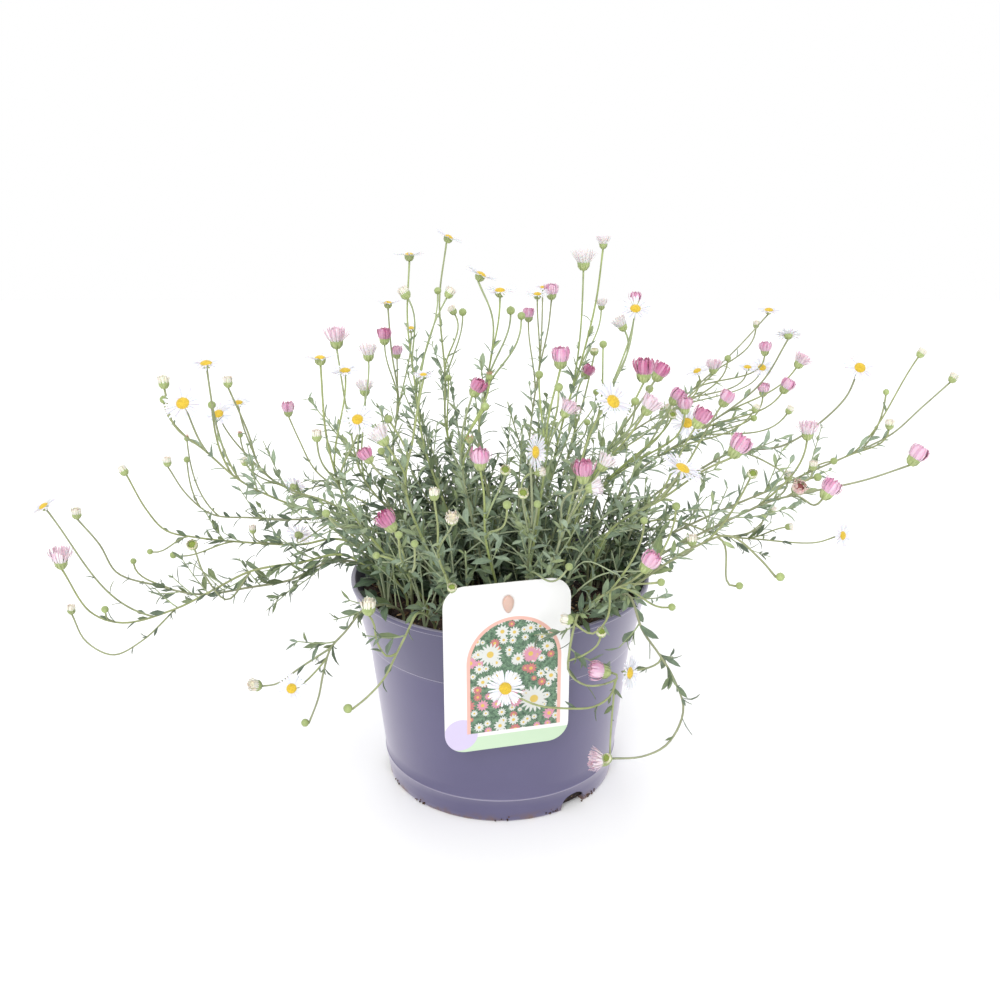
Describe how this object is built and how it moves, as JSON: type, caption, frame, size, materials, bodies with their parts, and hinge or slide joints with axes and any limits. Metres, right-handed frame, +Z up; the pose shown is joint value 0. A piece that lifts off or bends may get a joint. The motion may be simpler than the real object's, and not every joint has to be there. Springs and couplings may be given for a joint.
{
  "type": "potted mexican fleabane",
  "caption": "Flowering fleabane with long thin flower stems, small white and pink daisies and a leafy mound, in a round nursery pot with a label card on a peg.",
  "frame": {"origin": "the middle of the pot's flat underside", "axes": "+Z up along the pot's axis; -Y is the front, where the label card is; +X to the right seen from the front"},
  "size_m": [0.5092, 0.3122, 0.3052],
  "materials": {
    "pot": "satin moulded plastic, grey violet",
    "soil": "moist crumbly potting compost with pale fibres",
    "label_card": "printed semi-gloss plastic sheet",
    "label_peg": "beige translucent plastic",
    "foliage": "soft green leaves, slightly hairy",
    "flower_stems": "thin green stems with narrow leaves, buds and small daisies"
  },
  "bodies": {
    "root": {"pot": "pot", "soil": "soil", "label_card": "label_card", "label_peg": "label_peg", "leaf_tuft_1": "foliage", "leaf_tuft_2": "foliage", "leaf_tuft_3": "foliage", "leaf_tuft_4": "foliage", "leaf_tuft_5": "foliage", "leaf_tuft_6": "foliage", "leaf_tuft_7": "foliage", "leaf_tuft_8": "foliage", "leaf_tuft_9": "foliage", "leaf_tuft_10": "foliage", "leaf_tuft_11": "foliage", "leaf_tuft_12": "foliage", "spray_far_left": "flower_stems", "spray_left_back": "flower_stems", "spray_left_low": "flower_stems", "spray_left_rear": "flower_stems", "spray_left_high": "flower_stems", "spray_left_mid": "flower_stems", "spray_left_far_back": "flower_stems", "spray_left_front": "flower_stems", "spray_left_inner": "flower_stems", "spray_back_left": "flower_stems", "spray_top_left": "flower_stems", "spray_top_back": "flower_stems", "spray_top_mid": "flower_stems", "spray_mid_front": "flower_stems", "spray_front_left": "flower_stems", "spray_back_mid": "flower_stems", "spray_top_right": "flower_stems", "spray_front_mid": "flower_stems", "spray_back_inner": "flower_stems", "spray_right_top": "flower_stems", "spray_right_inner": "flower_stems", "spray_front_right": "flower_stems", "spray_right_back": "flower_stems", "spray_right_mid": "flower_stems", "spray_right_front": "flower_stems", "spray_far_back": "flower_stems", "spray_right_high": "flower_stems", "spray_right_long": "flower_stems", "spray_far_right": "flower_stems", "spray_right_low": "flower_stems", "spray_right_rear": "flower_stems", "spray_right_lower": "flower_stems", "spray_rim_right": "flower_stems", "spray_hang_right": "flower_stems", "spray_hang_front": "flower_stems", "spray_hang_left": "flower_stems", "spray_low_left": "flower_stems", "spray_front_leftmost": "flower_stems", "spray_front_buds": "flower_stems", "spray_front_pink": "flower_stems", "spray_front_centre": "flower_stems"}
  },
  "joints": []
}
